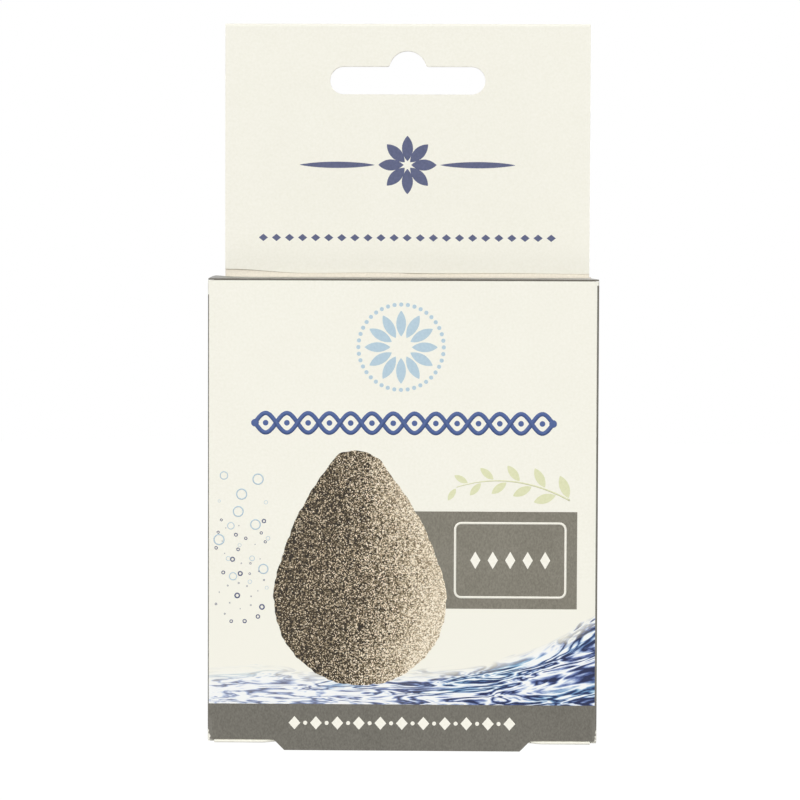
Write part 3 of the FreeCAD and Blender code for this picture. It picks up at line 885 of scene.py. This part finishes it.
def front_prints():
    """The front panel's motifs, placed from its middle and its lower edge."""
    face = front_low.y + ink_recess
    row = row_tree()
    ring = ring_tree()
    strand = strand_tree()

    def at(x, level):
        return x * MM, front_bottom + level * MM

    rosette = at(-0.4, 76.8)
    dots = {"Count": 40, "Ring Radius": 8.3 * MM, "Corners": 20, "Length": 0.8 * MM, "Width": 0.8 * MM,
            "Pinch": 0.0, "Ink": pale_blue_ink}
    petals = {"Count": 12, "Ring Radius": 4.6 * MM, "Corners": 28, "Length": 5.0 * MM, "Width": 1.9 * MM,
              "Pinch": 0.8, "Ink": pale_blue_ink}
    lay_print("print_rosette_dots", grown(ring, dots), rosette, face)
    lay_print("print_rosette_petals", grown(ring, petals), rosette, face)
    border = at(0.2, 62.0)
    loops = 14
    over = {"Length": 58.0 * MM, "Waves": loops / 2, "Swing": 1.9 * MM, "Width": 0.85 * MM, "Ink": blue_ink}
    under = {**over, "Swing": -over["Swing"]}
    eyes = {"Count": loops, "Pitch": over["Length"] / loops, "Corners": 20, "Length": 1.1 * MM,
            "Width": 1.1 * MM, "Pinch": 0.0, "Ink": blue_ink}
    lay_print("print_braid_under", grown(strand, under), border, face)
    lay_print("print_braid_over", grown(strand, over), border, face, layer=2)
    lay_print("print_braid_eyes", grown(row, eyes), border, face)
    ends = {**eyes, "Count": 2, "Pitch": over["Length"], "Length": 1.5 * MM, "Width": 1.5 * MM}
    lay_print("print_braid_ends", grown(row, ends), border, face, layer=3)
    label_level = 35.35
    label = at(13.0, label_level)
    lay_print("print_label", rectangle(42.0 * MM, 19.0 * MM, label_ink), label, face)
    on_label = at(21.0, label_level)
    keyline = {"Length": 21.5 * MM, "Height": 14.5 * MM, "Corner": 1.2 * MM, "Width": 0.45 * MM,
               "Ink": cream_ink}
    lay_print("print_label_keyline", grown(keyline_tree(), keyline), on_label, face, layer=2)
    lozenges = {"Count": 5, "Pitch": 3.4 * MM, "Corners": 4, "Length": 2.0 * MM, "Width": 3.4 * MM,
                "Pinch": 0.0, "Ink": cream_ink}
    lay_print("print_label_lozenges", grown(row, lozenges), on_label, face, layer=2)
    lay_print("print_sponge_picture", sponge_picture(), at(-8.1, 10.7), face, layer=3)
    sprig = {"Count": 10, "Corners": 24, "Length": 4.6 * MM, "Width": 1.9 * MM, "Pinch": 0.7,
             "Lean": math.radians(42), "Stem Width": 0.35 * MM, "Foot": (11.0 * MM, -1.5 * MM, 0.0),
             "Bow": (0.0, 4.5 * MM, 0.0), "Tip": (-11.0 * MM, 1.0 * MM, 0.0), "Ink": leaf_ink}
    lay_print("print_sprig", grown(sprig_tree(), sprig), at(21.5, 48.6), face)
    bubbles = {"Spread Width": 10.0 * MM, "Spread Height": 24.0 * MM, "Spacing": 3.0 * MM,
               "Smallest": 0.25 * MM, "Largest": 1.0 * MM, "Line": 0.24, "Seed": 7, "Ink": pale_blue_ink}
    bubble = bubble_tree()
    lay_print("print_bubbles", grown(bubble, bubbles), at(-31.0, 40.0), face)
    spray = {**bubbles, "Spread Height": 20.0 * MM, "Spacing": 1.7 * MM, "Smallest": 0.08 * MM,
             "Largest": 0.45 * MM, "Line": 0.6, "Seed": 11, "Ink": slate_ink}
    lay_print("print_spray", grown(bubble, spray), at(-31.5, 33.0), face, layer=2)
    band = at(0.0, 3.3)
    bars = {"Count": 11, "Pitch": 4.2 * MM, "Corners": 4, "Length": 2.3 * MM, "Width": 2.6 * MM, "Pinch": 0.0,
            "Ink": cream_ink}
    beads = {**bars, "Count": 10, "Corners": 20, "Length": 0.8 * MM, "Width": 0.8 * MM}
    lay_print("print_foot_lozenges", grown(row, bars), band, face)
    lay_print("print_foot_beads", grown(row, beads), band, face)


def header_prints():
    """The header's motifs, placed from its middle and its top."""
    face = facing_low.y
    row = row_tree()
    ring = ring_tree()

    def at(x, below):
        return x * MM, hanger_top - below * MM

    middle = at(0.0, 29.0)
    petals = {"Count": 8, "Ring Radius": 3.4 * MM, "Corners": 28, "Length": 5.2 * MM, "Width": 2.3 * MM,
              "Pinch": 0.8, "Ink": slate_ink}
    lay_print("print_header_petals", grown(ring, petals), middle, face)
    rules = {"Count": 2, "Pitch": 29.0 * MM, "Corners": 40, "Length": 15.5 * MM, "Width": 1.3 * MM,
             "Pinch": 0.6, "Ink": slate_ink}
    lay_print("print_header_rules", grown(row, rules), middle, face)
    dashes = {"Count": 23, "Pitch": 2.7 * MM, "Corners": 4, "Length": 1.9 * MM, "Width": 1.5 * MM,
              "Pinch": 0.0, "Ink": slate_ink}
    lay_print("print_header_dashes", grown(row, dashes), at(0.0, 44.0), face)


def konjac_sponge():
    """The sponge itself: a remeshed drop, pitted all over."""
    voxel = 0.32 * MM
    host = bpy.data.objects.new("sponge_host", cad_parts["sponge"].data.copy())
    bpy.context.scene.collection.objects.link(host)
    remesh = host.modifiers.new("remesh", "REMESH")
    remesh.mode = "VOXEL"
    remesh.voxel_size = voxel
    even = bpy.data.meshes.new_from_object(host.evaluated_get(bpy.context.evaluated_depsgraph_get()))
    bpy.data.objects.remove(host)
    sizes = {"Lump Size": 7.0 * MM, "Lump Depth": 0.9 * MM, "Pit Size": 1.1 * MM, "Pit Depth": 0.6 * MM,
             "Skin": foam}
    mesh = grown(foam_tree(), sizes, even)
    mesh.shade_smooth()
    piece = new_piece("konjac_sponge", mesh, "sponge")
    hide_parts("sponge")


def seen_rays(tree):
    """1 for rays from the camera and those that gloss or glass turns on, 0 for rays that light the carton."""
    rays = add(tree, "ShaderNodeLightPath").outputs
    seen = rays["Is Camera Ray"]
    for kind in ("Is Glossy Ray", "Is Transmission Ray"):
        seen = add(tree, "ShaderNodeMath", {0: seen, 1: rays[kind]}, operation="MAXIMUM").outputs[0]
    return seen


def stage():
    """A pale floor that keeps its shadows, and a white world behind it."""
    material, tree = new_material("pale_floor_paper")
    seen = seen_rays(tree)
    share = add(tree, "ShaderNodeMath", {0: seen, 1: floor_white_share}, operation="MULTIPLY")
    tones = {"Factor": seen, 6: linear("#8a8a88"), 7: linear("#fbfbfa")}
    paper = add(tree, "ShaderNodeMix", tones, data_type="RGBA").outputs[2]
    matt = add(tree, "ShaderNodeBsdfDiffuse", {"Color": paper})
    glow = add(tree, "ShaderNodeEmission", {"Color": linear("#ffffff"), "Strength": floor_glow})
    lifted = add(tree, "ShaderNodeMixShader", {"Fac": share, 1: matt, 2: glow})
    add(tree, "ShaderNodeOutputMaterial", {"Surface": lifted})
    floor = bpy.data.objects.new("floor", rectangle(floor_size, floor_size, material))
    floor.location.z = floor_level
    bpy.context.scene.collection.objects.link(floor)
    world = bpy.data.worlds.new("white_studio")
    world.use_nodes = True
    sky = world.node_tree
    sky.nodes.clear()
    ambient = add(sky, "ShaderNodeBackground", {"Color": linear("#ffffff"), "Strength": sky_light})
    white = add(sky, "ShaderNodeBackground", {"Color": linear("#ffffff"), "Strength": 1.0})
    chosen = add(sky, "ShaderNodeMixShader", {"Fac": seen_rays(sky), 1: ambient, 2: white})
    add(sky, "ShaderNodeOutputWorld", {"Surface": chosen})
    bpy.context.scene.world = world


def soft_light(name, side, strength):
    """A distant soft studio light that shines from this side of the carton."""
    lamp = bpy.data.lights.new(name, "SUN")
    lamp.energy = strength
    lamp.angle = light_softness
    light = bpy.data.objects.new(name, lamp)
    light.rotation_euler = Vector(side).to_track_quat("Z", "Y").to_euler()
    bpy.context.scene.collection.objects.link(light)


def camera():
    """The main view's camera, about 0.6 m in front of the carton."""
    lens = bpy.data.cameras.new("camera")
    lens.sensor_width = sensor_width_mm
    lens.lens = focal_pixels / picture_pixels * sensor_width_mm
    view = bpy.data.objects.new("camera", lens)
    turn = Matrix.Rotation(camera_yaw, 4, "Z") @ Matrix.Rotation(math.pi / 2 - camera_pitch, 4, "X")
    view.matrix_world = Matrix.Translation(eye) @ turn @ Matrix.Rotation(camera_roll, 4, "Z")
    bpy.context.scene.collection.objects.link(view)
    bpy.context.scene.camera = view


bpy.context.scene.view_settings.view_transform = "Standard"
camera()
stage()
soft_light("key_light", (-0.5, -1.0, 0.55), 2.15)
soft_light("fill_light", (0.8, -0.8, 0.4), 0.95)
soft_light("back_light", (0.5, 1.0, 0.7), 2.4)
plain_boards()
front_board()
facing_board()
lid_boards()
base_tuck_board()
front_prints()
header_prints()
konjac_sponge()
